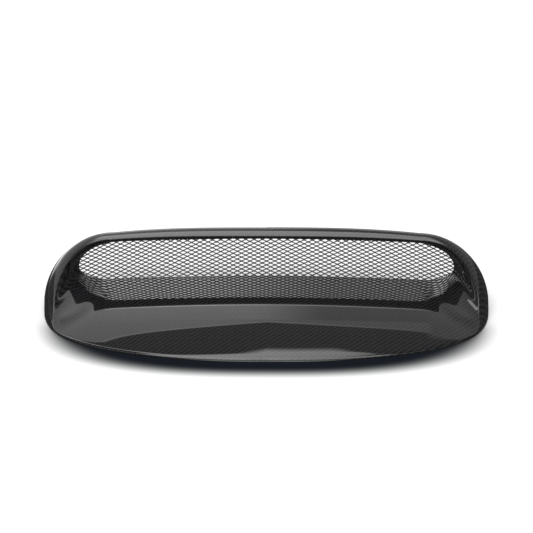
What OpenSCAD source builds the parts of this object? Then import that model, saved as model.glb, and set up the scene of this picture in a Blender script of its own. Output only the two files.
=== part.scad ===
// Bonnet scoop: a moulded carbon ring with a broad front ramp, a thin arch
// over the mouth and an expanded metal grille bonded behind the mouth.
// Lengths are in millimetres. X runs across the car, Y runs back and Z is up.
// The origin is the middle of the bonding land under the front of the lip, and
// the part stands on the plane Z = 0, the flat of the bonnet under the ramp.

/* [Lip] */
// Half width of the mouth rim where the ramp ends at the sides
rim_half_w = 285.5; // [250:0.5:300]
// Depth of the curved front lip, from its foremost point to the sides
lip_sweep = 100; // [80:1:115]
// Fullness of the lip curve in plan, 2 is an ellipse
lip_power = 2.1; // [2:0.05:2.6]
// Height of the lip edge over the bonnet
lip_h = 7; // [6:0.5:12]
// Slope of the ramp where it leaves the lip
ramp_slope = 13; // [8:0.5:18]

/* [Arch] */
// Slope at which the rim climbs from the lip to the arch
rim_rake = 31.5; // [28:0.5:33]
// Straight run of the rim before the shoulder
rim_side_run = 40; // [30:1:50]
// Width taken up by the rounded shoulder of the rim
rim_shoulder_w = 72; // [60:1:85]
// Length of the shoulder along the climbing rim
rim_shoulder_run = 98; // [93:1:101]
// Crown of the arch from the shoulders to the middle, along the rim
rim_crown = 6.4; // [3:0.2:8]

/* [Outer edge] */
// Distance by which the outer edge stands out beyond the rim at the sides
edge_out_w = 15.7; // [10:0.1:22]
// Set-back of the outer edge under the front of the lip
edge_setback = 9; // [6:0.5:12]
// Distance back at which the outer edge leaves the flat of the bonnet
edge_lift_y = 160; // [150:1:170]
// Slope of the bonnet rise that the outer edge follows
edge_rake = 45; // [43:0.5:47]
// Fullness of the outer edge at the front corners
edge_power = 2.45; // [2.3:0.05:2.6]
// Straight run of the outer edge, measured in plan
edge_side_run = 12.2; // [8:0.2:16]
// Width taken up by the rounded shoulder of the outer edge
edge_shoulder_w = 92; // [85:0.5:105]
// Length of that shoulder, measured in plan
edge_shoulder_run = 68; // [66:0.5:71]
// Crown of the outer edge over the arch
edge_crown = 5.8; // [3:0.1:7]
// Width of the bonding land turned in under the lip
land_w = 10; // [6:0.5:14]
// Width of the edge turned in behind the arch
hook_w = 3.8; // [3:0.2:5]

/* [Mouth] */
// Distance from the rim to the end of the mouth at the sides
throat_w = 28.5; // [24:0.5:40]
// Distance back to the bottom of the mouth
mouth_y = 216; // [210:0.5:220]
// Height of the bottom of the mouth
mouth_z = 27; // [25:0.5:30]
// Drop from the crest of the rim to the top of the mouth, in the middle
mouth_drop = 9.07; // [8.5:0.01:12]
// Backward lean of the grille
mouth_lean = 17; // [14:0.5:20]
// Width of the lower corners of the mouth
low_corner_w = 44; // [30:1:55]
// Height of the lower corners of the mouth
low_corner_h = 18; // [14:0.5:20]
// Width of the upper corners of the mouth
top_corner_w = 55; // [45:1:65]
// Drop of the mouth's edges, measured at camber_at from the middle
mouth_camber = 4.5; // [3:0.5:6]
// Width of the flange that the grille is bonded to
flange_w = 5.5; // [5:0.1:6]

/* [Moulding] */
// Thickness of the moulding
wall = 2.2; // [1.6:0.1:2.4]
// Outside radius of the rim and of the mouth's rear edge
edge_r = 2.8; // [2.6:0.1:3.2]
// Bulge of the outer band, as a share of its width
band_bulge = 0.3; // [0.1:0.05:0.4]

/* [Grille] */
// Length of one mesh, from knuckle to knuckle
mesh_l = 11.5; // [10:0.1:16]
// Height of one mesh
mesh_h = 5.45; // [4.8:0.05:8]
// Width of the strands
strand_w = 1.15; // [0.9:0.05:1.6]
// Thickness of the sheet
sheet_t = 1.2; // [0.8:0.1:1.6]
// Arching of the rows of meshes, measured at camber_at
row_camber = 7; // [0:0.5:9]
// Overlap of the sheet on its flange
overlap = 4.5; // [3.5:0.1:4.8]
// Width of the bead of adhesive behind the sheet's rim
bond_w = 3; // [2:0.1:3.4]
// Thickness of that bead
bond_t = 1.2; // [0.8:0.1:1.6]

/* [Fixings] */
// Diameter of the bonded studs
stud_d = 6; // [5:0.5:6]
// Length of the studs from their plates
stud_l = 16; // [12:0.5:18]
// Diameter of the plate that each stud stands on
plate_d = 16; // [12:0.5:17]
// Thickness of that plate
plate_t = 1.5; // [1:0.1:2]
// Distance of the outer studs from the ends of the mouth
stud_end_w = 77; // [65:1:110]
// Distance between the studs of one side
stud_pitch = 110; // [80:5:130]

/* [Hidden] */

// Half widths over the outer edge and of the mouth opening at the grille
edge_half_w = rim_half_w + edge_out_w;
mouth_half_w = rim_half_w - throat_w;
// Distance from the middle at which both cambers are measured
camber_at = 200;
// Stations on half of the ring, in the four stretches of the rim
n_lip = 18;
n_side = 4;
n_shoulder = 12;
n_arch = 9;
// Steps along each stretch of the section
n_bend = 3;
n_ramp = 8;
n_roll = 4;
n_band = 5;
// Lengths over which the rim and the outer edge turn up from the level
rim_turn = 30;
edge_turn = 14;
// Radius where the band turns in under the outer edge
turn_r = 2.6;
// Height of the mouth opening at its middle, along the grille
mouth_h = (rim([3, 1])[2] - mouth_drop - mouth_z) / cos(mouth_lean);
// Straight part of the mouth's ends, and height of the corners above it
mouth_end_h = 2;
top_corner_h = mouth_h - low_corner_h - mouth_end_h;
// The next values hold for the lip, the sides and the arch. Outward share of
// the direction in which the section leaves the mouth
leave_out = [0, 0.4, 0.8];
// Share of straight forward in the direction in which it meets the rim
meet_forward = [0, 0.35, 1];
// Slope at which it meets the rim
meet_slope = [-ramp_slope, 30, 52];
// Reach of the curve's handles at the mouth and at the rim, as shares of its span
mouth_reach = [0.36, 0.5, 0.3];
rim_reach = [0.36, 0.14, 0.3];
// Share of the band's bulge that each zone has
bulge_share = [0.6, 2, 2];
// Width of the edge turned in
turned_w = [land_w, 0.7 * land_w, hook_w];
// Share of a stretch over which directions along the ring are taken
near_share = 0.02;
// Steps round the mouth's rear edge and round the hem
n_mouth = n_bend + 1;
n_hem = 2;
// Length over which the foot under the mouth narrows to the flange
foot_fade = 26;
foot_past = 10;
// Share of the outer edge's curved front that runs with the lip, and share of
// the side stations at which that curve ends
lip_share = 0.85;
curve_share = 0.75;
// Share of the lip's stations that lead to the straight edge of the mouth,
// and the angles on its lower corners that the lip and the sides lead to
straight_share = 0.8;
lip_corner_a = -50;
side_corner_a = -15;
end_share = 0.16;
// Rim of uncut sheet left round the meshes
rim_w = 2.4;
// Film of adhesive between the flange and the parts bonded to it
film = 0.1;
// The part's origin is the middle of the land under the front of the lip
datum_y = edge_setback + land_w / 2;
// Places of the studs across the flange, and their height below the mouth
outer_stud_x = mouth_half_w - stud_end_w;
inner_stud_x = outer_stud_x - stud_pitch;
stud_up = -mouth_camber * pow(outer_stud_x / camber_at, 2) - overlap - plate_d / 2 - 1;

function unit(v) = v / norm(v);
function smooth(t) = let (u = min(1, max(0, t))) u * u * (3 - 2 * u);
function blend(a, b, t) = a + (b - a) * t;
// Three values for the lip, the sides and the arch, blended by progress k
function by_zone(v, k) = k < 1 ? blend(v[0], v[1], k) : blend(v[1], v[2], k - 1);
// Level, then rising, with a turn of 2 r between the two
function rise(t, r) = t <= -r ? 0 : t >= r ? t : pow(t + r, 2) / (4 * r);
function bezier(a, b, c, d, n) =
    [for (i = [0 : n]) let (t = i / n, s = 1 - t)
        s * s * s * a + 3 * s * s * t * b + 3 * s * t * t * c + t * t * t * d];
// Rounded corner at c, from direction u to direction v
function rounded(c, u, v, r, n) =
    let (turn = acos(max(-1, min(1, u * v))), g = r * tan(turn / 2), h = 4 / 3 * r * tan(turn / 4))
    bezier(c - g * u, c - (g - h) * u, c + (g - h) * v, c + g * v, n);

// A station is [stretch, share of it]: 0 lip, 1 side, 2 shoulder, 3 arch
STATIONS = concat(
    [for (i = [0 : n_lip - 1]) [0, i / n_lip]],
    [for (i = [0 : n_side - 1]) [1, i / n_side]],
    [for (i = [0 : n_shoulder - 1]) [2, i / n_shoulder]],
    [for (i = [0 : n_arch]) [3, i / n_arch]]);

// Progress round the ring: 0 on the lip, 1 on the sides, 2 on the arch
function progress(st) =
    st[0] == 0 ? 0 : st[0] == 1 ? smooth(st[1]) : st[0] == 2 ? 1 + smooth(st[1]) : 2;

// Leading edge of the rim
function rim(st) =
    let (a = 90 * st[1], q = 2 / lip_power, f = 1 - st[1],
         x = st[0] == 0 ? rim_half_w * pow(sin(a), q) :
             st[0] == 1 ? rim_half_w :
             st[0] == 2 ? rim_half_w - rim_shoulder_w * (1 - cos(a)) :
             (rim_half_w - rim_shoulder_w) * f,
         run = st[0] == 1 ? rim_side_run * st[1] :
             st[0] == 2 ? rim_side_run + rim_shoulder_run * sin(a) :
             rim_side_run + rim_shoulder_run + rim_crown * (1 - f * f * f),
         y = st[0] == 0 ? lip_sweep * (1 - pow(max(0, cos(a)), q)) : lip_sweep + run * cos(rim_rake))
    [x, y, lip_h + tan(rim_rake) * rise(y - lip_sweep, rim_turn)];

// Height of the bonnet under the outer edge
function bonnet_z(y) = tan(edge_rake) * rise(y - edge_lift_y, edge_turn);
// Outer edge of the band
function outer_edge(st) =
    let (q = 2 / edge_power, f = 1 - st[1], past = st[1] / curve_share,
         a = 90 * (st[0] == 0 ? lip_share * st[1] :
                   st[0] == 1 ? min(1, blend(lip_share, 1, past)) : st[1]),
         x = st[0] < 2 ? edge_half_w * pow(sin(a), q) :
             st[0] == 2 ? edge_half_w - edge_shoulder_w * (1 - cos(a)) :
             (edge_half_w - edge_shoulder_w) * f,
         run = st[0] < 2 ? edge_side_run * max(0, st[0] * (st[1] - curve_share) / (1 - curve_share)) :
             st[0] == 2 ? edge_side_run + edge_shoulder_run * sin(a) :
             edge_side_run + edge_shoulder_run + edge_crown * (1 - f * f * f),
         front = st[0] < 2 ? (edge_lift_y - edge_setback) * pow(max(0, cos(a)), q) : 0,
         y = edge_lift_y - front + run)
    [x, y, bonnet_z(y)];

// Edge of the mouth in the plane of the grille, [across, up], moved out by g
function corner(x, up, w, h, a, g) = [x + (w + g) * cos(a), up + (h + g) * sin(a)];
function cambered(p, c) = [p[0], p[1] - c * pow(p[0] / camber_at, 2)];
function low_corner(a, g) =
    corner(mouth_half_w - low_corner_w, low_corner_h, low_corner_w, low_corner_h, a, g);
function top_corner(a, g) =
    corner(mouth_half_w - top_corner_w, low_corner_h + mouth_end_h, top_corner_w, top_corner_h, a, g);
function mouth(st, g = 0) =
    let (f = st[1],
         p = st[0] == 0 && f < straight_share
                 ? [(mouth_half_w - low_corner_w) * sin(90 * f) / sin(90 * straight_share), -g] :
             st[0] == 0
                 ? low_corner(blend(-90, lip_corner_a, (f - straight_share) / (1 - straight_share)), g) :
             st[0] == 1 ? low_corner(blend(lip_corner_a, side_corner_a, f), g) :
             st[0] == 2 && f < end_share ? low_corner(blend(side_corner_a, 0, f / end_share), g) :
             st[0] == 2 ? top_corner(90 * (f - end_share) / (1 - end_share), g) :
             [(mouth_half_w - top_corner_w) * (1 - f), mouth_h + g])
    cambered(p, mouth_camber);
// From the plane of the grille to the part: across, up and back from it
function placed(p, back) = [p[0],
    mouth_y + p[1] * sin(mouth_lean) + back * cos(mouth_lean),
    mouth_z + p[1] * cos(mouth_lean) - back * sin(mouth_lean)];
// Width of the flange: down to the bonnet under the mouth, narrow elsewhere
function flange_at(st) =
    let (p = mouth(st), foot = (mouth_z - edge_r * sin(mouth_lean)) / cos(mouth_lean) + p[1],
         past = p[0] - mouth_half_w + low_corner_w + foot_past)
    st[0] > 0 ? flange_w : blend(foot, flange_w, smooth(past / foot_fade));

// Stations a little before and after this one, for directions along the ring
function before(st) = [st[0], max(0, st[1] - near_share)];
function after(st) = [st[0], min(1, st[1] + near_share)];
function at_lip_middle(st) = st[0] == 0 && st[1] == 0;
function at_arch_middle(st) = st[0] == 3 && st[1] == 1;
function rim_along(st) =
    at_lip_middle(st) ? [1, 0, 0] : at_arch_middle(st) ? [-1, 0, 0] : unit(rim(after(st)) - rim(before(st)));
// Level directions out of the rim and in from the outer edge
function rim_out(st) = let (d = rim_along(st)) unit([d[1], -d[0], 0]);
function edge_in(st) =
    let (d = outer_edge(after(st)) - outer_edge(before(st)))
    at_lip_middle(st) ? [0, 1] : at_arch_middle(st) ? [0, -1] : unit([-d[1], d[0]]);

// Skin of the moulding at one station, from the grille flange over the ramp,
// the rim and the band to the edge that is turned in
function skin(st) =
    let (k = progress(st),
         s = placed(mouth(st), 0),
         back = [0, cos(mouth_lean), -sin(mouth_lean)],
         out = unit(placed(mouth(st, 1), 0) - s),
         c = rim(st), h = outer_edge(st),
         // Directions in which the ramp or throat leaves the mouth and meets the rim
         leave = unit([0, -1, 0] + by_zone(leave_out, k) * out),
         face = unit(blend(rim_out(st), [0, -1, 0], by_zone(meet_forward, k))),
         lift = by_zone(meet_slope, k),
         meet = cos(lift) * face + [0, 0, sin(lift)],
         l0 = norm(c - s) * by_zone(mouth_reach, k),
         l1 = norm(c - s) * by_zone(rim_reach, k),
         // The band and its bulge
         across = h - c,
         bulge = unit(cross(across, rim_along(st))) * norm(across) * band_bulge * by_zone(bulge_share, k),
         start = unit(across + bulge),
         finish = unit(across - bulge),
         // The edge turned in
         in_xy = [h[0], h[1]] + by_zone(turned_w, k) * edge_in(st),
         inner = [in_xy[0], in_xy[1], bonnet_z(in_xy[1])],
         bend = rounded(s + edge_r * back, -leave, out, edge_r, n_mouth),
         roll = rounded(c, meet, start, edge_r, n_roll),
         hem = rounded(h, finish, unit(inner - h), turn_r, n_hem),
         p0 = bend[0], p1 = roll[0], q0 = roll[n_roll], q1 = hem[0], d = norm(q1 - q0) / 3)
    concat(
        [s + edge_r * back + flange_at(st) * out],
        [for (i = [n_mouth : -1 : 1]) bend[i]],
        bezier(p0, p0 + l0 * leave, p1 - l1 * meet, p1, n_ramp),
        [for (i = [1 : n_roll]) roll[i]],
        [for (i = [1 : n_band - 1]) bezier(q0, q0 + d * start, q1 - d * finish, q1, n_band)[i]],
        hem,
        [inner]);

function mirrored(p) = [for (v = p) [-v[0], v[1], v[2]]];
half_ring = [for (st = STATIONS) skin(st)];
n_half = len(half_ring);
ring = concat(half_ring, [for (i = [n_half - 2 : -1 : 1]) mirrored(half_ring[i])]);
n_ring = len(ring);
n_skin = len(ring[0]);
// Direction into the wall at point j of station i
function inward(i, j) =
    let (along = ring[(i + 1) % n_ring][j] - ring[(i + n_ring - 1) % n_ring][j],
         a = j == 0 ? ring[i][1] - ring[i][0] : ring[i][j] - ring[i][j - 1],
         b = j == n_skin - 1 ? a : ring[i][j + 1] - ring[i][j],
         na = unit(cross(along, a)), nb = j == 0 ? na : unit(cross(along, b)), n = unit(na + nb))
    n / max(0.6, n * na);
inner_ring = [for (i = [0 : n_ring - 1]) [for (j = [0 : n_skin - 1]) ring[i][j] + wall * inward(i, j)]];
section_len = 2 * n_skin;
shell_points = [for (i = [0 : n_ring - 1]) for (j = [0 : section_len - 1])
    j < n_skin ? ring[i][j] : inner_ring[i][section_len - 1 - j]];
function at(i, j) = (i % n_ring) * section_len + j % section_len;
shell_faces = [for (i = [0 : n_ring - 1]) for (j = [0 : section_len - 1])
    each [[at(i, j), at(i + 1, j), at(i + 1, j + 1)], [at(i, j), at(i + 1, j + 1), at(i, j + 1)]]];

// Turns a drawing in the plane of the grille into place, facing forward
module in_mouth(back) {
    translate([0, mouth_y - datum_y, mouth_z]) rotate([90 - mouth_lean, 0, 0])
        translate([0, 0, -back]) children();
}

// Outline of the mouth moved out by g
module mouth_outline(g) {
    half = [for (st = STATIONS) mouth(st, g)];
    polygon(concat(half, [for (i = [len(half) - 2 : -1 : 1]) [-half[i][0], half[i][1]]]));
}

module shell() {
    color([0.13, 0.13, 0.14]) translate([0, -datum_y, 0]) polyhedron(shell_points, shell_faces);
}

// Openings of the expanded metal: diamonds in staggered, gently arched rows
hole_l = mesh_l - 2 * strand_w;
hole_h = mesh_h - 1.3 * strand_w;
function inside(p) =
    let (g = overlap - rim_w, x = abs(p[0]), y = p[1] + mouth_camber * pow(x / camber_at, 2),
         kl = max(0, x - mouth_half_w + low_corner_w) / (low_corner_w + g),
         kt = max(0, x - mouth_half_w + top_corner_w) / (top_corner_w + g))
    x < mouth_half_w + g &&
    y > low_corner_h - (low_corner_h + g) * sqrt(max(0, 1 - kl * kl)) &&
    y < low_corner_h + mouth_end_h + (top_corner_h + g) * sqrt(max(0, 1 - kt * kt));
function diamond(x, y) = [for (q = [[-1, 0], [0, -1], [1, 0], [0, 1]])
    cambered([x + q[0] * hole_l / 2, y + q[1] * hole_h / 2], row_camber)];
rows = ceil(2 * mouth_h / mesh_h);
cols = ceil(2 * mouth_half_w / mesh_l);

module grille() {
    color([0.05, 0.05, 0.05]) in_mouth(edge_r + film + sheet_t) linear_extrude(sheet_t) difference() {
        mouth_outline(overlap);
        for (j = [-2 : rows + 2], i = [-cols / 2 - 1 : cols / 2 + 1])
            let (d = diamond((i + (j % 2 == 0 ? 0 : 0.5)) * mesh_l, j * mesh_h / 2))
                if (min([for (p = d) inside(p) ? 1 : 0]) == 1) polygon(d);
    }
}

// Bead of adhesive pressed over the rim of the sheet
module grille_bond() {
    color([0.09, 0.09, 0.09]) in_mouth(edge_r + film + sheet_t + bond_t) linear_extrude(bond_t)
        difference() {
            mouth_outline(overlap);
            mouth_outline(overlap - bond_w);
        }
}

// Threaded stud on a round plate, bonded to the back of the flange
module stud(x) {
    color([0.72, 0.72, 0.7]) in_mouth(edge_r + film + plate_t + stud_l) translate([x, stud_up, 0]) {
        cylinder(d = stud_d, h = stud_l + plate_t / 2, $fn = 48);
        translate([0, 0, stud_l]) cylinder(d = plate_d, h = plate_t, $fn = 48);
    }
}
module stud_left_outer() { stud(-outer_stud_x); }
module stud_left_inner() { stud(-inner_stud_x); }
module stud_right_inner() { stud(inner_stud_x); }
module stud_right_outer() { stud(outer_stud_x); }

shell();
grille();
grille_bond();
stud_left_outer();
stud_left_inner();
stud_right_inner();
stud_right_outer();
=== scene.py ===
import math
import bpy
import numpy as np
from mathutils import Matrix, Vector


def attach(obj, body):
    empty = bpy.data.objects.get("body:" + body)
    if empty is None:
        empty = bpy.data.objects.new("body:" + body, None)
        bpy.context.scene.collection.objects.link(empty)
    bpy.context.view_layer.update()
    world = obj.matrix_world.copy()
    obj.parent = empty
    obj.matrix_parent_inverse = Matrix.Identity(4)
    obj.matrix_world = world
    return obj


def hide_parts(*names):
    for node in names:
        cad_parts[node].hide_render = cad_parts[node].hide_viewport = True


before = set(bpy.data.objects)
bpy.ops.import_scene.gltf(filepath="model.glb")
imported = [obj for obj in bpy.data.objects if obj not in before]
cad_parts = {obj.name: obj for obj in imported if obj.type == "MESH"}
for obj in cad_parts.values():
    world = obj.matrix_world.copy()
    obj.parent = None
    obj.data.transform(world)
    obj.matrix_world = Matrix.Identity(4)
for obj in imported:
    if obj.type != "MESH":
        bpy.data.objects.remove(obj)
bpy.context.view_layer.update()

# Sizes of the moulding in millimetres, the same as in the part's source
RIM_HALF_W, LIP_SWEEP, LIP_POWER, LIP_H, RAMP_SLOPE = 285.5, 100.0, 2.1, 7.0, 13.0
RIM_RAKE, RIM_SIDE_RUN, RIM_SHOULDER_W, RIM_SHOULDER_RUN, RIM_CROWN = 31.5, 40.0, 72.0, 98.0, 6.4
EDGE_HALF_W, EDGE_SETBACK, EDGE_LIFT_Y, EDGE_RAKE, EDGE_POWER = 301.2, 9.0, 160.0, 45.0, 2.45
EDGE_SIDE_RUN, EDGE_SHOULDER_W, EDGE_SHOULDER_RUN, EDGE_CROWN = 12.2, 92.0, 68.0, 5.8
LAND_W, HOOK_W = 10.0, 3.8
MOUTH_HALF_W, MOUTH_Y, MOUTH_Z, MOUTH_H, MOUTH_LEAN = 257.0, 216.0, 27.0, 48.5, 17.0
LOW_CORNER_W, LOW_CORNER_H, TOP_CORNER_W, MOUTH_CAMBER = 44.0, 18.0, 55.0, 4.5
FLANGE_W, WALL, EDGE_R, BAND_BULGE = 5.5, 2.2, 2.8, 0.3
MESH_L, MESH_H, STRAND_W, SHEET_T, ROW_CAMBER = 11.5, 5.45, 1.15, 1.2, 7.0
OVERLAP, BOND_W, BOND_T = 4.5, 3.0, 1.2
STUD_D, STUD_L, PLATE_D, PLATE_T = 6.0, 16.0, 16.0, 1.5
INNER_PITCH, OUTER_PITCH = 140.0, 360.0
CAMBER_AT, RIM_TURN, EDGE_TURN, TURN_R, MOUTH_END_H = 200.0, 30.0, 14.0, 2.6, 2.0
TOP_CORNER_H = MOUTH_H - LOW_CORNER_H - MOUTH_END_H
LIP_SHARE, CURVE_SHARE, STRAIGHT_SHARE, END_SHARE = 0.85, 0.75, 0.8, 0.16
LIP_CORNER_A, SIDE_CORNER_A = -50.0, -15.0
FILM = 0.1
DATUM_Y = EDGE_SETBACK + LAND_W / 2
STUD_UP = -MOUTH_CAMBER * (OUTER_PITCH / 2 / CAMBER_AT) ** 2 - OVERLAP - PLATE_D / 2 - 1

# The next values hold for the lip, the sides and the arch, as in the part's source
LEAVE_OUT, MEET_FORWARD, MEET_SLOPE = (0, 0.4, 0.8), (0, 0.35, 1), (-RAMP_SLOPE, 30, 52)
MOUTH_REACH, RIM_REACH, BULGE_SHARE = (0.36, 0.5, 0.3), (0.36, 0.14, 0.3), (0.6, 2, 2)
TURNED_W = (LAND_W, 0.7 * LAND_W, HOOK_W)
FOOT_FADE, FOOT_PAST, NEAR_SHARE = 26.0, 10.0, 0.02

# Steps of the fine moulding: stations along half of the ring, and steps along
# each stretch of its section
N_LIP, N_SIDE, N_SHOULDER, N_ARCH = 84, 16, 48, 34
N_FOOT, N_BEND, N_RAMP, N_ROLL, N_BAND, N_HEM = 3, 6, 26, 8, 12, 5
IRON_ROUNDS, IRON_RATE = 2500, 0.028
# Least share of its length in plan at which a step turns the cloth, and the least
# cosine for which the wall is mitred at a bend
CLOTH_TURNS_AT, LEAST_MITRE = 0.25, 0.6

# Expanded metal: how far a strand's edge stands out past its width in the part,
# how near the middles of two strands come at a knuckle, as a share of their width,
# and how long and how round the knuckle is
STRAND_SPREAD, KNUCKLE_SHARE, KNUCKLE_LENGTH, KNUCKLE_EASE = 0.2, 0.42, 1.2, 0.93
STRAND_TILT, STRAND_DEPTH, STRAND_CUT, STEPS_PER_MESH = 24.0, 0.8, 0.25, 12
# The uncut rim of the sheet, and how far the strands run in under it
SHEET_RIM_W, STRAND_END = 2.4, 1.6

THREAD_PITCH, THREAD_STEPS, STUD_SIDES, BEAD_SIDES = 1.0, 10, 40, 11

MM = 0.001
# Width of one tow of the cloth
TOW = 2.05


def sind(a):
    return math.sin(math.radians(a))


def cosd(a):
    return math.cos(math.radians(a))


def tand(a):
    return math.tan(math.radians(a))


def vec(*v):
    return np.array(v, dtype=float)


def unit(v):
    return v / np.linalg.norm(v)


def blend(a, b, t):
    return a + (b - a) * t


def smooth(t):
    """Eased step from 0 to 1."""
    u = min(1.0, max(0.0, t))
    return u * u * (3 - 2 * u)


def by_zone(v, k):
    """Blends the values of the lip, the sides and the arch; k runs from 0 to 2."""
    return blend(v[0], v[1], k) if k < 1 else blend(v[1], v[2], k - 1)


def rise(t, r):
    """0 before 0 and t after it, with the bend rounded over r each way."""
    return 0.0 if t <= -r else t if t >= r else (t + r) ** 2 / (4 * r)


def bezier(a, b, c, d, n):
    t = np.linspace(0, 1, n + 1)[:, None]
    s = 1 - t
    return s ** 3 * a + 3 * s * s * t * b + 3 * s * t * t * c + t ** 3 * d


def rounded(c, u, v, r, n):
    """Rounds the corner c between the directions u and v with the radius r."""
    turn = math.degrees(math.acos(max(-1.0, min(1.0, float(u @ v)))))
    g, h = r * tand(turn / 2), 4 / 3 * r * tand(turn / 4)
    return bezier(c - g * u, c - (g - h) * u, c + (g - h) * v, c + g * v, n)


# The moulding
# A station is (stretch, share of it): 0 lip, 1 side, 2 shoulder, 3 arch

STATIONS = ([(0, i / N_LIP) for i in range(N_LIP)] + [(1, i / N_SIDE) for i in range(N_SIDE)]
            + [(2, i / N_SHOULDER) for i in range(N_SHOULDER)]
            + [(3, i / N_ARCH) for i in range(N_ARCH + 1)])


def progress(s, f):
    return 0.0 if s == 0 else smooth(f) if s == 1 else 1 + smooth(f) if s == 2 else 2.0


def rim(s, f):
    """Point of the rim: the lip's edge, the climbing sides and the arch."""
    a, q, g = 90 * f, 2 / LIP_POWER, 1 - f
    if s == 0:
        x, y = RIM_HALF_W * sind(a) ** q, LIP_SWEEP * (1 - max(0.0, cosd(a)) ** q)
    else:
        x = (RIM_HALF_W if s == 1 else RIM_HALF_W - RIM_SHOULDER_W * (1 - cosd(a)) if s == 2
             else (RIM_HALF_W - RIM_SHOULDER_W) * g)
        run = (RIM_SIDE_RUN * f if s == 1 else RIM_SIDE_RUN + RIM_SHOULDER_RUN * sind(a) if s == 2
               else RIM_SIDE_RUN + RIM_SHOULDER_RUN + RIM_CROWN * (1 - g ** 3))
        y = LIP_SWEEP + run * cosd(RIM_RAKE)
    return vec(x, y, LIP_H + tand(RIM_RAKE) * rise(y - LIP_SWEEP, RIM_TURN))


def bonnet_z(y):
    return tand(EDGE_RAKE) * rise(y - EDGE_LIFT_Y, EDGE_TURN)


def outer_edge(s, f):
    """Point of the edge that meets the bonnet."""
    q, g, past = 2 / EDGE_POWER, 1 - f, f / CURVE_SHARE
    a = 90 * (LIP_SHARE * f if s == 0 else min(1.0, blend(LIP_SHARE, 1, past)) if s == 1 else f)
    if s < 2:
        x = EDGE_HALF_W * sind(a) ** q
        run = EDGE_SIDE_RUN * max(0.0, s * (f - CURVE_SHARE) / (1 - CURVE_SHARE))
        y = EDGE_LIFT_Y - (EDGE_LIFT_Y - EDGE_SETBACK) * max(0.0, cosd(a)) ** q + run
    else:
        x = (EDGE_HALF_W - EDGE_SHOULDER_W * (1 - cosd(a)) if s == 2
             else (EDGE_HALF_W - EDGE_SHOULDER_W) * g)
        y = EDGE_LIFT_Y + (EDGE_SIDE_RUN + EDGE_SHOULDER_RUN * sind(a) if s == 2
                           else EDGE_SIDE_RUN + EDGE_SHOULDER_RUN + EDGE_CROWN * (1 - g ** 3))
    return vec(x, y, bonnet_z(y))


def corner(x, up, w, h, a, g):
    return vec(x + (w + g) * cosd(a), up + (h + g) * sind(a))


def low_corner(a, g):
    return corner(MOUTH_HALF_W - LOW_CORNER_W, LOW_CORNER_H, LOW_CORNER_W, LOW_CORNER_H, a, g)


def top_corner(a, g):
    return corner(MOUTH_HALF_W - TOP_CORNER_W, LOW_CORNER_H + MOUTH_END_H, TOP_CORNER_W,
                  TOP_CORNER_H, a, g)


def mouth(s, f, g=0.0):
    """Point of the mouth's outline moved out by g, in the grille's plane."""
    if s == 0 and f < STRAIGHT_SHARE:
        p = vec((MOUTH_HALF_W - LOW_CORNER_W) * sind(90 * f) / sind(90 * STRAIGHT_SHARE), -g)
    elif s == 0:
        p = low_corner(blend(-90, LIP_CORNER_A, (f - STRAIGHT_SHARE) / (1 - STRAIGHT_SHARE)), g)
    elif s == 1:
        p = low_corner(blend(LIP_CORNER_A, SIDE_CORNER_A, f), g)
    elif s == 2 and f < END_SHARE:
        p = low_corner(blend(SIDE_CORNER_A, 0, f / END_SHARE), g)
    elif s == 2:
        p = top_corner(90 * (f - END_SHARE) / (1 - END_SHARE), g)
    else:
        p = vec((MOUTH_HALF_W - TOP_CORNER_W) * (1 - f), MOUTH_H + g)
    return vec(p[0], p[1] - MOUTH_CAMBER * (p[0] / CAMBER_AT) ** 2)


SIN_LEAN, COS_LEAN = sind(MOUTH_LEAN), cosd(MOUTH_LEAN)


def placed(p, back):
    """From the grille's plane to the part, back millimetres behind it."""
    return vec(p[0], MOUTH_Y + p[1] * SIN_LEAN + back * COS_LEAN,
               MOUTH_Z + p[1] * COS_LEAN - back * SIN_LEAN)


def flange_at(s, f):
    """Width of the flange, which is the foot down to the bonnet under the mouth."""
    p = mouth(s, f)
    foot = (MOUTH_Z - EDGE_R * SIN_LEAN) / COS_LEAN + p[1]
    past = p[0] - MOUTH_HALF_W + LOW_CORNER_W + FOOT_PAST
    return FLANGE_W if s > 0 else blend(foot, FLANGE_W, smooth(past / FOOT_FADE))


def near(s, f):
    return (s, max(0.0, f - NEAR_SHARE)), (s, min(1.0, f + NEAR_SHARE))


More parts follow.
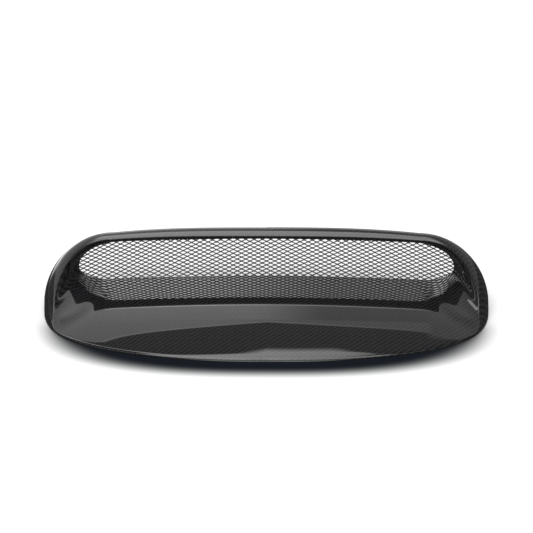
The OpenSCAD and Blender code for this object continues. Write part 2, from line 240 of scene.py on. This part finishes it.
def skin(s, f):
    """Points of the section from the grille's flange to the edge turned in,
    and the index of the point at the rim."""
    k = progress(s, f)
    m = placed(mouth(s, f), 0)
    back = vec(0, COS_LEAN, -SIN_LEAN)
    out = unit(placed(mouth(s, f, 1.0), 0) - m)
    c, h = rim(s, f), outer_edge(s, f)
    s0, s1 = near(s, f)
    lip_middle, arch_middle = s == 0 and f == 0, s == 3 and f == 1
    along = (vec(1, 0, 0) if lip_middle else vec(-1, 0, 0) if arch_middle
             else unit(rim(*s1) - rim(*s0)))
    ro = unit(vec(along[1], -along[0], 0))
    # The ramp leaves the lower corners of the mouth level, not downward
    level = vec(out[0], out[1], max(0.0, out[2]))
    leave = unit(vec(0, -1, 0) + by_zone(LEAVE_OUT, k) * level)
    face = unit(blend(ro, vec(0, -1, 0), by_zone(MEET_FORWARD, k)))
    lift = by_zone(MEET_SLOPE, k)
    meet = cosd(lift) * face + vec(0, 0, sind(lift))
    reach = np.linalg.norm(c - m)
    l0, l1 = reach * by_zone(MOUTH_REACH, k), reach * by_zone(RIM_REACH, k)
    across = h - c
    bulge = (unit(np.cross(across, along)) * np.linalg.norm(across) * BAND_BULGE
             * by_zone(BULGE_SHARE, k))
    start, finish = unit(across + bulge), unit(across - bulge)
    e = outer_edge(*s1) - outer_edge(*s0)
    e_in = vec(0, 1) if lip_middle else vec(0, -1) if arch_middle else unit(vec(-e[1], e[0]))
    turned = by_zone(TURNED_W, k)
    ix, iy = h[0] + turned * e_in[0], h[1] + turned * e_in[1]
    inner = vec(ix, iy, bonnet_z(iy))
    bend = rounded(m + EDGE_R * back, -leave, out, EDGE_R, N_BEND)[::-1]
    roll = rounded(c, meet, start, EDGE_R, N_ROLL)
    hem = rounded(h, finish, unit(inner - h), TURN_R, N_HEM)
    p0, p1, q0, q1 = bend[-1], roll[0], roll[-1], hem[0]
    dist = np.linalg.norm(q1 - q0) / 3
    flange = m + EDGE_R * back + flange_at(s, f) * out
    steps = np.linspace(0, 1, N_FOOT + 1)[:, None]
    foot = flange + (bend[0] - flange) * steps
    points = np.concatenate([
        foot[:-1], bend, bezier(p0, p0 + l0 * leave, p1 - l1 * meet, p1, N_RAMP)[1:], roll[1:],
        bezier(q0, q0 + dist * start, q1 - dist * finish, q1, N_BAND)[1:-1], hem,
        hem[-1] + (inner - hem[-1]) * steps[1:]])
    return points, len(foot) - 1 + len(bend) + N_RAMP + N_ROLL // 2


def cloth_lay(points, at_rim):
    """Lays the cloth over the section from the rim both ways, keeping each
    step's true length in its direction in plan."""
    lay = np.zeros((len(points), 2))
    lay[at_rim] = points[at_rim, :2]
    for way in (-1, 1):
        end = -1 if way < 0 else len(points)
        heading = None
        for j in range(at_rim, end - way, way):
            step = points[j + way] - points[j]
            flat, length = np.linalg.norm(step[:2]), np.linalg.norm(step)
            if flat > CLOTH_TURNS_AT * length or heading is None:
                heading = step[:2] / max(flat, 1e-6)
            lay[j + way] = lay[j] + heading * length
    return lay


def ring_of(half):
    """Half a ring of points, from the lip to the arch, mirrored into a ring."""
    mirror = half[-2:0:-1].copy()
    mirror[..., 0] *= -1
    return np.concatenate([half, mirror])


def new_piece(name, points, faces, finish, sharp=None):
    """Mesh object from points in millimetres, in the part's own frame."""
    mesh = bpy.data.meshes.new(name)
    at = (np.asarray(points) - vec(0, DATUM_Y, 0)) * MM
    mesh.from_pydata(at.tolist(), [], faces)
    mesh.shade_smooth()
    if sharp:
        mesh.set_sharp_from_angle(angle=math.radians(sharp))
    mesh.materials.append(finish)
    piece = bpy.data.objects.new(name, mesh)
    bpy.context.scene.collection.objects.link(piece)
    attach(piece, "root")
    return piece


def band_faces(n_ring, n_section):
    """Quads of a ring of closed sections. On the moulding and the bead of
    adhesive they face inward."""
    grid = np.arange(n_ring * n_section).reshape(n_ring, n_section)
    after, beside = np.roll(grid, -1, 0), np.roll(grid, -1, 1)
    corners = np.stack([grid, after, np.roll(after, -1, 1), beside], 2)
    return [tuple(face) for face in corners.reshape(-1, 4).tolist()]


def write_values(piece, name, values, kind="FLOAT"):
    """Gives each point of the piece a value that its finish reads."""
    layer = piece.data.attributes.new(name, kind, "POINT")
    layer.data.foreach_set("vector" if kind == "FLOAT_VECTOR" else "value",
                           np.asarray(values, dtype=np.float32).ravel())


def ironed(points):
    """Irons the corner where the ramp turns up into the throat's side, as a thin
    plate would lie between its borders on the mouth and on the rim."""
    # Points of the ramp between its two borders
    low = N_FOOT + N_BEND + 2
    high = low + N_RAMP - 4
    # Full at the sides, and faded out along the lip and up the shoulder
    share = [smooth((f - 0.72) / 0.2) if s == 0 else 1.0 if s == 1 else
             1 - smooth((f - 0.1) / 0.5) if s == 2 else 0.0 for s, f in STATIONS]
    share = np.array(share)[1:-1, None, None]
    free = slice(low, high)

    def bend_of(p):
        b = np.zeros_like(p)
        b[1:-1, 1:-1] = (p[:-2, 1:-1] + p[2:, 1:-1] + p[1:-1, :-2] + p[1:-1, 2:]
                         - 4 * p[1:-1, 1:-1])
        return b

    for _ in range(IRON_ROUNDS):
        twice = bend_of(bend_of(points))
        points[1:-1, free] -= IRON_RATE * share * twice[1:-1, free]
    return points


def make_moulding(finish):
    """The shell's surface as a ring of sections, with the wall added behind it."""
    sections = [skin(s, f) for s, f in STATIONS]
    half = ironed(np.array([p for p, _ in sections]))
    outer = ring_of(half)
    lay = ring_of(np.array([cloth_lay(p, at) for p, (_, at) in zip(half, sections)]))
    # Directions of the wall at each point, from the steps before and after it
    along = np.roll(outer, -1, 0) - np.roll(outer, 1, 0)
    step = np.diff(outer, axis=1)
    normals = np.cross(along[:, :-1], step), np.cross(along[:, 1:], step)
    normals = [n / np.linalg.norm(n, axis=2, keepdims=True) for n in normals]
    first = np.concatenate([normals[0], normals[1][:, -1:]], 1)
    second = np.concatenate([normals[0][:, :1], normals[1]], 1)
    mean = first + second
    mean /= np.linalg.norm(mean, axis=2, keepdims=True)
    mitre = np.maximum(LEAST_MITRE, (mean * first).sum(2, keepdims=True))
    inner = outer + WALL * mean / mitre
    points = np.concatenate([outer, inner[:, ::-1]], 1)
    n_ring, n_section = points.shape[:2]
    piece = new_piece("moulding", points.reshape(-1, 3), band_faces(n_ring, n_section), finish,
                      sharp=50)
    lays = np.concatenate([lay, lay[:, ::-1]], 1).reshape(-1, 2)
    write_values(piece, "cloth", np.column_stack([lays, np.zeros(len(lays))]), "FLOAT_VECTOR")
    n = n_section // 2
    write_values(piece, "underside", np.tile(np.repeat([0.0, 1.0], n), n_ring))
    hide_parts("shell")


# The grille

def sheet_edge(x, g):
    """Lowest and highest point of the mouth moved out by g, at x."""
    ax = abs(x)
    if ax >= MOUTH_HALF_W + g:
        return None
    kl = max(0.0, ax - MOUTH_HALF_W + LOW_CORNER_W) / (LOW_CORNER_W + g)
    kt = max(0.0, ax - MOUTH_HALF_W + TOP_CORNER_W) / (TOP_CORNER_W + g)
    drop = MOUTH_CAMBER * (x / CAMBER_AT) ** 2
    low = LOW_CORNER_H - (LOW_CORNER_H + g) * math.sqrt(max(0.0, 1 - kl * kl)) - drop
    high = (LOW_CORNER_H + MOUTH_END_H + (TOP_CORNER_H + g) * math.sqrt(max(0.0, 1 - kt * kt))
            - drop)
    return low, high


def make_grille(finish):
    """Expanded metal: zigzag strands, neighbours joined knuckle to knuckle,
    each strand tilted as the press leaves it."""
    points, faces = [], []
    mid = EDGE_R + FILM + SHEET_T / 2
    rows = math.ceil(2 * MOUTH_H / MESH_H)
    half_w, half_t = STRAND_W / 2 + STRAND_SPREAD, SHEET_T / 2 - 0.05
    cut = STRAND_CUT
    outline = [(-half_w + cut, -half_t), (half_w - cut, -half_t), (half_w, -half_t + cut),
               (half_w, half_t - cut), (half_w - cut, half_t), (-half_w + cut, half_t),
               (-half_w, half_t - cut), (-half_w, -half_t + cut)]
    amplitude = MESH_H / 4 - STRAND_W * KNUCKLE_SHARE
    step = MESH_L / STEPS_PER_MESH
    n = math.ceil(2 * (MOUTH_HALF_W + OVERLAP) / MESH_L * STEPS_PER_MESH)
    # Some rows more each way, for the camber
    for j in range(-3, rows + 4):
        phase = 0 if j % 2 == 0 else math.pi
        base = (j + 0.5) * MESH_H / 2
        run = []
        for i in range(n + 1):
            x = -(n / 2) * step + i * step
            angle = 2 * math.pi * x / MESH_L + phase
            # A triangle wave with its corners eased, flat for the knuckle
            wave = (KNUCKLE_LENGTH * math.asin(KNUCKLE_EASE * math.cos(angle))
                    / math.asin(KNUCKLE_EASE))
            wave = max(-1.0, min(1.0, wave))
            y = base + amplitude * wave - ROW_CAMBER * (x / CAMBER_AT) ** 2
            edge = sheet_edge(x, OVERLAP - STRAND_END)
            if edge and edge[0] < y < edge[1]:
                run.append((x, y, wave))
            elif run:
                add_strand(points, faces, run, outline, mid)
                run = []
        if run:
            add_strand(points, faces, run, outline, mid)
    # Uncut rim of the sheet, behind the flange
    rim_half = []
    for s, f in STATIONS:
        a, b = mouth(s, f, OVERLAP), mouth(s, f, OVERLAP - SHEET_RIM_W)
        corners = (a, -SHEET_T / 2), (b, -SHEET_T / 2), (b, SHEET_T / 2), (a, SHEET_T / 2)
        rim_half.append([placed(p, mid + t) for p, t in corners])
    ring = ring_of(np.array(rim_half))
    start = len(points)
    points.extend(ring.reshape(-1, 3))
    faces.extend(tuple(start + v for v in face) for face in band_faces(len(ring), 4))
    piece = new_piece("mesh_grille", points, faces, finish, sharp=40)
    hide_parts("grille")


def add_strand(points, faces, run, outline, mid):
    """Sweeps the outline along one uncut run of a strand."""
    if len(run) < 3:
        return
    start, n_out = len(points), len(outline)
    for i, (x, y, wave) in enumerate(run):
        a, b = run[max(0, i - 1)], run[min(len(run) - 1, i + 1)]
        along = unit(vec(b[0] - a[0], b[1] - a[1]))
        side = vec(-along[1], along[0])
        tilt = STRAND_TILT * (1 if wave > 0 else -1) * min(1.0, abs(wave) * 1.4)
        ct, st = cosd(tilt), sind(tilt)
        for w, t in outline:
            across, deep = w * ct - t * st, w * st + t * ct
            points.append(placed(vec(x, y) + side * across, mid - deep * STRAND_DEPTH))
    n = len(run)
    faces.extend((start + i * n_out + j, start + i * n_out + (j + 1) % n_out,
                  start + (i + 1) * n_out + (j + 1) % n_out, start + (i + 1) * n_out + j)
                 for i in range(n - 1) for j in range(n_out))
    faces.append(tuple(start + j for j in range(n_out))[::-1])
    faces.append(tuple(start + (n - 1) * n_out + j for j in range(n_out)))


def make_bond(finish):
    """Bead of adhesive over the rim of the sheet, with a hand-laid wander."""
    sheet_back = EDGE_R + FILM + SHEET_T
    half = []
    for count, (s, f) in enumerate(STATIONS):
        wander = 0.35 * math.sin(count * 0.37) + 0.2 * math.sin(count * 0.91 + 1)
        section = []
        for k in range(BEAD_SIDES):
            a = math.pi * k / (BEAD_SIDES - 1)
            g = OVERLAP - BOND_W / 2 + math.cos(a) * (BOND_W / 2 + 0.1 * wander)
            lift = math.sin(a) ** 0.8 * (BOND_T - 0.15 + 0.12 * wander)
            section.append(placed(mouth(s, f, g), sheet_back + lift))
        half.append(section)
    ring = ring_of(np.array(half))
    piece = new_piece("adhesive_bead", ring.reshape(-1, 3), band_faces(len(ring), BEAD_SIDES),
                      finish, sharp=50)
    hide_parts("grille_bond")


def make_stud(name, x, finish):
    """Stud with a rolled thread, welded to a round plate with a soft edge."""
    axis = vec(0, COS_LEAN, -SIN_LEAN)
    up = vec(0, SIN_LEAN, COS_LEAN)
    base = placed(vec(x, STUD_UP), EDGE_R + FILM)
    length, around = STUD_L - 3.5, STUD_SIDES
    plate_r, crest_r = PLATE_D / 2, STUD_D / 2
    blank_r = crest_r - 0.35
    profile = [(0.0, 0.0), (plate_r - 0.35, 0.0), (plate_r, 0.3), (plate_r, PLATE_T - 0.35),
               (plate_r - 0.4, PLATE_T), (crest_r + 1.0, PLATE_T), (crest_r + 0.35, PLATE_T + 0.25),
               (crest_r - 0.1, PLATE_T + 0.9), (blank_r, PLATE_T + 1.6)]
    steps = int(length / THREAD_PITCH * THREAD_STEPS)
    levels = [PLATE_T + 2.2 + length * k / steps for k in range(steps + 1)]
    tip = PLATE_T + STUD_L
    points = []
    for k in range(around):
        a = 2 * math.pi * k / around
        ring = list(profile)
        for z in levels:
            fade = smooth((z - levels[0]) / 1.2) * smooth((tip - 0.6 - z) / 1.4)
            t = (z / THREAD_PITCH - k / around) % 1.0
            tooth = min(1.0, abs(2 * t - 1) * 1.15)
            ring.append((blank_r + fade * (0.35 - 0.62 * (1 - tooth)), z))
        ring += [(crest_r - 0.8, tip - 0.3), (crest_r - 1.1, tip), (0.0, tip)]
        for r, z in ring:
            points.append(base + axis * z + r * (math.cos(a) * vec(1, 0, 0) + math.sin(a) * up))
    n = len(points) // around
    faces = []
    for k in range(around):
        here, there = k * n, (k + 1) % around * n
        faces += [(here + j, here + j + 1, there + j + 1, there + j) for j in range(n - 1)]
    piece = new_piece("threaded_" + name, points, faces, finish, sharp=35)
    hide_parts(name)


# The finishes

class Value:
    """A socket of a finish; operators on it add Math nodes."""

    def __init__(self, finish, socket):
        self.finish, self.socket = finish, socket

    def math(self, operation, *others):
        values = {i + 1: other for i, other in enumerate(others)}
        values[0] = self
        return self.finish.node("Math", {"operation": operation}, values)

    def turned(self, operation, other):
        return self.finish.node("Math", {"operation": operation}, {0: other, 1: self})

    def __add__(self, other):
        return self.math("ADD", other)

    def __radd__(self, other):
        return self.turned("ADD", other)

    def __sub__(self, other):
        return self.math("SUBTRACT", other)

    def __rsub__(self, other):
        return self.turned("SUBTRACT", other)

    def __mul__(self, other):
        return self.math("MULTIPLY", other)

    def __truediv__(self, other):
        return self.math("DIVIDE", other)

    def __mod__(self, other):
        return self.math("FLOORED_MODULO", other)

    def __lt__(self, other):
        return self.math("LESS_THAN", other)

    def __pow__(self, other):
        return self.math("POWER", other)

    def floor(self):
        return self.math("FLOOR")

    def abs(self):
        return self.math("ABSOLUTE")

    def cos(self):
        return self.math("COSINE")

    def low(self, other):
        return self.math("MINIMUM", other)

    def high(self, other):
        return self.math("MAXIMUM", other)

    def between(self, low, high):
        """0 below low and 1 above high, eased."""
        return self.finish.node("MapRange", {"interpolation_type": "SMOOTHSTEP"},
                                {0: self, 1: low, 2: high})


class Finish:
    """A material or world being made."""

    def __init__(self, tree):
        self.tree = tree
        tree.nodes.clear()

    def node(self, kind, settings=None, values=None, out=0):
        """Adds a node, sets or links its inputs and returns one of its outputs."""
        made = self.tree.nodes.new("ShaderNode" + kind)
        for key, value in (settings or {}).items():
            setattr(made, key, value)
        for key, value in (values or {}).items():
            if isinstance(value, Value):
                self.tree.links.new(value.socket, made.inputs[key])
            else:
                made.inputs[key].default_value = value
        return Value(self, made.outputs[out]) if made.outputs else None

    def parts(self, vector):
        split = self.node("SeparateXYZ", None, {0: vector}).socket.node
        return [Value(self, o) for o in split.outputs]

    def joined(self, x=0.0, y=0.0, z=0.0):
        return self.node("CombineXYZ", None, {0: x, 1: y, 2: z})

    def colours(self, share, a, b):
        """From the colour a to the colour b."""
        a = a if isinstance(a, Value) else (*a, 1)
        b = b if isinstance(b, Value) else (*b, 1)
        return self.node("Mix", {"data_type": "RGBA"}, {0: share, 6: a, 7: b}, 2)

    def place(self):
        """Place on the piece, in metres."""
        return self.node("TexCoord", None, None, 3)

    def noise(self, place, scale, detail=2.0, rough=0.5):
        return self.node("TexNoise", None, {"Vector": place, "Scale": scale, "Detail": detail,
                                            "Roughness": rough})

    def surface(self, **sockets):
        names = {key.replace("_", " ").title().replace("Ior", "IOR"): value
                 for key, value in sockets.items()}
        shader = self.node("BsdfPrincipled", None, names)
        self.node("OutputMaterial", None, {0: shader})


def new_finish(name):
    material = bpy.data.materials.new(name)
    material.use_nodes = True
    return material, Finish(material.node_tree)


def carbon_twill():
    """Two by two twill under gloss lacquer; the underside shows bare resin."""
    material, f = new_finish("carbon_twill")
    cloth = f.node("Attribute", {"attribute_name": "cloth"}, None, 1)
    under = f.node("Attribute", {"attribute_name": "underside"}, None, 2)
    # The cloth never lies dead straight
    drift = f.noise(cloth, 0.012, 1.0)
    u, v, _ = f.parts(cloth)
    a = u / TOW + (drift - 0.5) * 1.2
    b = v / TOW + (drift - 0.5) * 0.8
    i, j = a.floor(), b.floor()
    # Distance from the middle of the float, for warp and for weft
    warp_m = ((b - i + 2) % 4) - 2
    weft_m = ((a - j - 1) % 4) - 2
    warp_up = warp_m.abs() < 1
    warp_h = (warp_m * (math.pi / 2)).cos() * 0.5 + 1 - ((a - i) * 2 - 1) ** 2 * 0.75
    weft_h = (weft_m * (math.pi / 2)).cos() * 0.5 + 1 - ((b - j) * 2 - 1) ** 2 * 0.75
    height = weft_h + (warp_h - weft_h) * warp_up
    # Filaments run along each tow
    fibres_v = f.noise(f.joined(a * 14, b * 0.5), 1.0, 2.0, 0.6)
    fibres_u = f.noise(f.joined(a * 0.5, b * 14), 1.0, 2.0, 0.6)
    fibres = fibres_u + (fibres_v - fibres_u) * warp_up
    tow_tone = f.node("TexWhiteNoise", {"noise_dimensions": "3D"},
                      {0: f.joined(i + (j - i) * (1 - warp_up), warp_up * 7, 3.0)})
    # Painted light in the cloth's colour: each tow is darker towards its edges and where its float
    # dives under, a painted shade between tows, and the warp floats are lighter, a painted sheen;
    # filament streaks and a random tone for each tow are mixed in
    light = height * 0.30 + fibres * 0.22 + tow_tone * 0.16 + warp_up * 0.32
    colour = f.colours(light.between(0.38, 0.88), (0.0035, 0.0035, 0.0038), (0.026, 0.026, 0.028))
    colour = f.colours(under, colour, (0.02, 0.02, 0.021))
    relief = height * 0.00010 + fibres * 0.00002
    bump = f.node("Bump", None, {"Height": relief, "Strength": 0.6, "Distance": 1.0})
    f.surface(base_color=colour, roughness=0.36 + under * 0.22 + fibres * 0.05, normal=bump,
              metallic=0.0, ior=1.5, specular_ior_level=0.0, coat_weight=1 - under * 0.85,
              coat_roughness=0.0, coat_ior=1.5)
    return material


def black_mesh():
    """Powder-coated sheet steel, a little rubbed on its high edges."""
    material, f = new_finish("black_mesh")
    place = f.place()
    grain = f.noise(place, 2600.0, 2.0)
    patches = f.noise(place, 90.0, 3.0)
    worn = f.node("NewGeometry", None, None, 7).between(0.54, 0.66) * patches.between(0.35, 0.7)
    colour = f.colours(patches, (0.005, 0.005, 0.0055), (0.01, 0.01, 0.0105))
    colour = f.colours(worn * 0.4, colour, (0.04, 0.04, 0.042))
    bump = f.node("Bump", None, {"Height": grain * 0.00003, "Strength": 0.5, "Distance": 1.0})
    f.surface(base_color=colour, roughness=0.42 + grain * 0.1, normal=bump, ior=1.5)
    return material


def adhesive():
    """Black adhesive, smoothed by hand."""
    material, f = new_finish("black_adhesive")
    place = f.place()
    swirl = f.noise(place, 260.0, 3.0)
    fine = f.noise(place, 1500.0, 2.0)
    colour = f.colours(swirl, (0.012, 0.012, 0.013), (0.03, 0.03, 0.031))
    bump = f.node("Bump", None, {"Height": swirl * 0.0003 + fine * 0.00004, "Strength": 0.6,
                                 "Distance": 1.0})
    f.surface(base_color=colour, roughness=0.34 + swirl * 0.2, normal=bump, ior=1.45)
    return material


def zinc_plate():
    """Bright zinc on steel, slightly clouded."""
    material, f = new_finish("bright_zinc")
    place = f.place()
    bloom = f.noise(place, 420.0, 4.0)
    fine = f.noise(place, 3000.0, 2.0)
    colour = f.colours(bloom.between(0.3, 0.75), (0.62, 0.64, 0.66), (0.44, 0.45, 0.46))
    bump = f.node("Bump", None, {"Height": fine * 0.00001, "Strength": 0.4, "Distance": 1.0})
    f.surface(base_color=colour, metallic=1.0, roughness=0.26 + bloom * 0.2, normal=bump)
    return material


# The studio

def aim(obj, at, roll=0.0):
    way = Vector(at) - obj.location
    turn = way.to_track_quat("-Z", "Y").to_matrix().to_4x4() @ Matrix.Rotation(roll, 4, "Z")
    obj.rotation_euler = turn.to_euler()


def make_camera():
    target = Vector((0, 0.165 - DATUM_Y * MM, 0.0637))
    elevation, distance, roll = 25, 3.0, 0.2
    data = bpy.data.cameras.new("camera")
    data.lens, data.sensor_width = 149.9, 36.0
    camera = bpy.data.objects.new("camera", data)
    bpy.context.scene.collection.objects.link(camera)
    camera.location = target + distance * Vector((0, -cosd(elevation), sind(elevation)))
    aim(camera, target, math.radians(roll))
    bpy.context.scene.camera = camera


def make_softbox(name, place, at, size, radiance):
    data = bpy.data.lights.new(name, "AREA")
    data.shape, data.size, data.size_y = "RECTANGLE", size[0], size[1]
    data.energy = radiance * math.pi * size[0] * size[1]
    lamp = bpy.data.objects.new(name, data)
    bpy.context.scene.collection.objects.link(lamp)
    lamp.location = place
    lamp.visible_glossy = False
    aim(lamp, at)


def stage_quad(name, corners, material):
    mesh = bpy.data.meshes.new(name)
    mesh.from_pydata(corners, [], [(0, 1, 2, 3)])
    mesh.materials.append(material)
    quad = bpy.data.objects.new(name, mesh)
    bpy.context.scene.collection.objects.link(quad)
    return quad


def make_floor():
    """White floor. Its colour keeps the part's own shadow, and the soft shadow of
    the photo is laid over it for the camera alone."""
    material, f = new_finish("white_floor")
    rays = f.node("LightPath").socket.node
    camera_ray = Value(f, rays.outputs["Is Camera Ray"])
    glossy_ray = Value(f, rays.outputs["Is Glossy Ray"])
    x, y, _ = f.parts(f.place())
    # The backlit shadow that lies in front of the lip and round its corners: a full
    # ellipse, with the way out of its edge in metres
    fullness = 2.6
    dx = x.abs() / 0.288
    dy = ((0.126 - DATUM_Y * MM) - y).high(0.0) / 0.151
    outside = ((dx ** fullness + dy ** fullness) ** (1 / fullness) - 1) * 0.2
    shadow = 1 - outside.between(-0.03, 0.033) ** 2.0
    shadow = shadow * (1 - y.between(0.085, 0.155))
    # The floor is painted dark for glossy rays, a painted dark reflection in the lacquer; the
    # camera sees it brighter than white
    shade = f.colours(glossy_ray, (0.6, 0.6, 0.6), (0.08, 0.08, 0.08))
    shade = f.colours(camera_ray, shade, (1.35, 1.35, 1.35))
    diffuse = f.node("BsdfDiffuse", None, {"Color": shade})
    # Painted light: for glossy rays the floor glows under the lip's edge and far back on the left,
    # so the lacquer mirrors a painted reflection of lit paper there
    front = (0 - y).between(0.003, 0.005)
    behind = y.between(0.3, 0.5) * (1 - ((0 - x) / y.high(0.1)).between(0.72, 0.8)) * (x < 0)
    mirrored_glow = front.high(behind) * glossy_ray
    bright = 0.5 + ((0 - y).between(0.014, 0.022) + behind) * 2.0
    tint = f.colours(shadow * camera_ray, (1.0, 1.0, 1.0), (0.0103, 0.013, 0.0176))
    glow = f.node("Emission", None, {"Color": tint, "Strength": 1 + (bright - 1) * glossy_ray})
    # Far from the part the floor is as white as the background
    far = ((x * x + y * y) ** 0.5).between(0.75, 1.1)
    away = (far.high(shadow) * camera_ray).high(mirrored_glow)
    mixed = f.node("MixShader", None, {0: away, 1: diffuse, 2: glow})
    f.node("OutputMaterial", None, {0: mixed})
    r = 9.0
    floor = stage_quad("floor", [(-r, -r, 0), (r, -r, 0), (r, r, 0), (-r, r, 0)], material)
    floor.location = (0, 0, -0.0006)


def make_card(name, corners, strength, cover=None):
    """Card of light close to the part, seen only as a mirror image. Strength and
    cover are worked out from the place on it."""
    material, f = new_finish(name)
    x, y, _ = f.parts(f.place())
    glow = f.node("Emission", None, {"Strength": strength(x, y)})
    if cover:
        glow = f.node("MixShader", None, {0: cover(x, y), 1: f.node("BsdfTransparent"), 2: glow})
    f.node("OutputMaterial", None, {0: glow})
    card = stage_quad(name, corners, material)
    card.visible_camera = card.visible_diffuse = card.visible_shadow = False
    card.visible_transmission = False


def make_cards():
    make_card("light_strip", [(-0.28, 0.29, 0.135), (0.28, 0.29, 0.135),
                              (0.28, 0.245, 0.155), (-0.28, 0.245, 0.155)],
              lambda x, y: 1.25 - x.between(-0.03, 0.1) * 0.75)
    # Over the corners of the ramp, where the lacquer curls the room up
    near_x, far_x, near_y, far_y, z = 0.225, 0.36, 0.1, 0.32, 0.1
    for name, side, strength in (("corner_left", -1, 1.2), ("corner_right", 1, 0.55)):
        corners = [(near_x * side, near_y, z), (far_x * side, near_y, z),
                   (far_x * side, far_y, z), (near_x * side, far_y, z)]
        make_card(name, corners, lambda x, y: strength,
                  lambda x, y: (x * side).between(0.228, 0.245) * y.between(0.115, 0.14))


def make_world():
    """White room. Only the lacquer and other glossy surfaces see the lights in it;
    x, y and z are the direction: right, back and up."""
    world = bpy.data.worlds.new("studio")
    bpy.context.scene.world = world
    world.use_nodes = True
    f = Finish(world.node_tree)
    rays = f.node("LightPath").socket.node
    seen = Value(f, rays.outputs["Is Camera Ray"])
    gloss = Value(f, rays.outputs["Is Glossy Ray"])
    x, y, z = f.parts(f.node("TexCoord", None, None, 0))
    left, right, front = (0 - x).high(0.0), x.high(0.0), (0 - y).high(0.0)
    # The wall behind, with a slanted top edge. It is brightest across its middle
    top_edge = (0.62 + left * 0.67 + right * 0.4).low(0.76)
    below_edge = (1 - (z - top_edge).between(0.0, 0.012)) * y.between(0.0, 0.05)
    wall = below_edge * (x + 0.3).between(-0.02, 0.02)
    lit_wall = 1.5 + z.between(0.33, 0.42) * 1.3 - z.between(0.53, 0.57) * 1.8
    lit_wall = lit_wall * (1 - x.between(-0.05, 0.05) * 0.5 - x.between(0.25, 0.4) * 0.4)
    # A bank of softboxes that runs overhead from the front and down the left
    bank_left = 0.33 + y.between(0.1, 0.42) * 0.38 + front * front * 0.25
    bank = (x + bank_left).between(-0.02, 0.14)
    bank = bank * (1 - (x - 0.12 - front * 0.42).between(-0.05, 0.06))
    bank = bank * (4.9 - x.between(-0.05, 0.1) * 1.3) * (1 - y.between(0.35, 0.5) * 0.34)
    # The dark slot between the bank and the wall
    slot_low = 0.62 - left.low(0.2) * 1.1 + (left - 0.24).high(0.0) * 3.0
    slot_low = slot_low - (right - 0.05).between(0.0, 0.15) * 0.24
    slot = (y - slot_low).between(0.0, 0.03) * (1 - below_edge)
    reflected = bank * (1 - slot) * (1 - wall) + wall * lit_wall
    # A dark room to the right
    reflected = reflected * (1 - x.between(0.4, 0.65)) + 0.1 + (1 - x.between(0.3, 0.6)) * 0.1
    plain, white = 0.72, 1
    strength = plain + (reflected - plain) * gloss
    strength = strength + (white - strength) * seen
    shader = f.node("Background", None, {0: (1, 1, 1, 1), 1: strength})
    f.node("OutputWorld", None, {0: shader})


carbon = carbon_twill()
make_moulding(carbon)
make_grille(black_mesh())
make_bond(adhesive())
zinc = zinc_plate()
for stud, pitch in (("left_outer", -OUTER_PITCH), ("left_inner", -INNER_PITCH),
                    ("right_inner", INNER_PITCH), ("right_outer", OUTER_PITCH)):
    make_stud("stud_" + stud, pitch / 2, zinc)

make_camera()
make_floor()
make_cards()
make_world()
make_softbox("top_softbox", (-0.35, -0.75, 1.9), (0, 0.1, 0.03), (1.3, 0.8), 3.0)
bpy.context.scene.view_settings.view_transform = "Standard"
